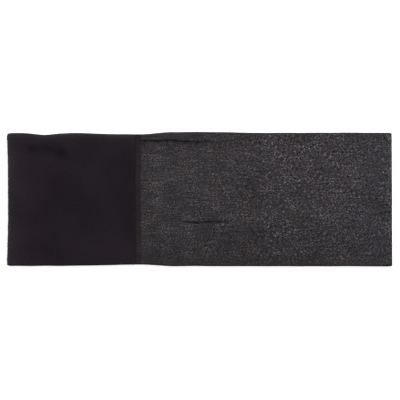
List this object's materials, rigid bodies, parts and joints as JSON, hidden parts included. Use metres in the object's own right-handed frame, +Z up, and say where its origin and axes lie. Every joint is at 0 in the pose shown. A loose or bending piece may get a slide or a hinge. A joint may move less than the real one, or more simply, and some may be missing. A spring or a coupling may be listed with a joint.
{
  "type": "neck warmer",
  "caption": "Tubular neck warmer lying flat: a plain black fleece section sewn by a flat join to a longer tube of heathered dark grey knit, open at both ends.",
  "frame": {"origin": "centre of the bounding box, on the surface that the underside lies on", "axes": "+X along the tube from the fleece mouth to the knit mouth, +Y across the flattened tube, +Z up"},
  "size_m": [0.6902, 0.24, 0.0088],
  "materials": {
    "knit": "fine heathered jersey, dry, with bright flecks",
    "fleece": "short-pile microfleece, matt",
    "thread": "textured polyester thread",
    "label": "smooth satin tape, blank"
  },
  "bodies": {
    "knit_section": {"knit_tube": "knit", "join_needle_thread_left": "thread", "join_needle_thread_right": "thread", "join_looper_thread": "thread"},
    "fleece_section": {"fleece_tube": "fleece", "hem_needle_thread": "thread", "hem_looper_thread": "thread", "back_seam_needle_threads": "thread", "back_seam_looper_thread": "thread", "care_label": "label"}
  },
  "joints": [
    {"name": "seam_fold", "type": "hinge", "parent": "knit_section", "child": "fleece_section", "pos_m": [-0.115, 0, 0.0076], "axis": [0, 1, 0], "range_deg": [0, 180]}
  ]
}
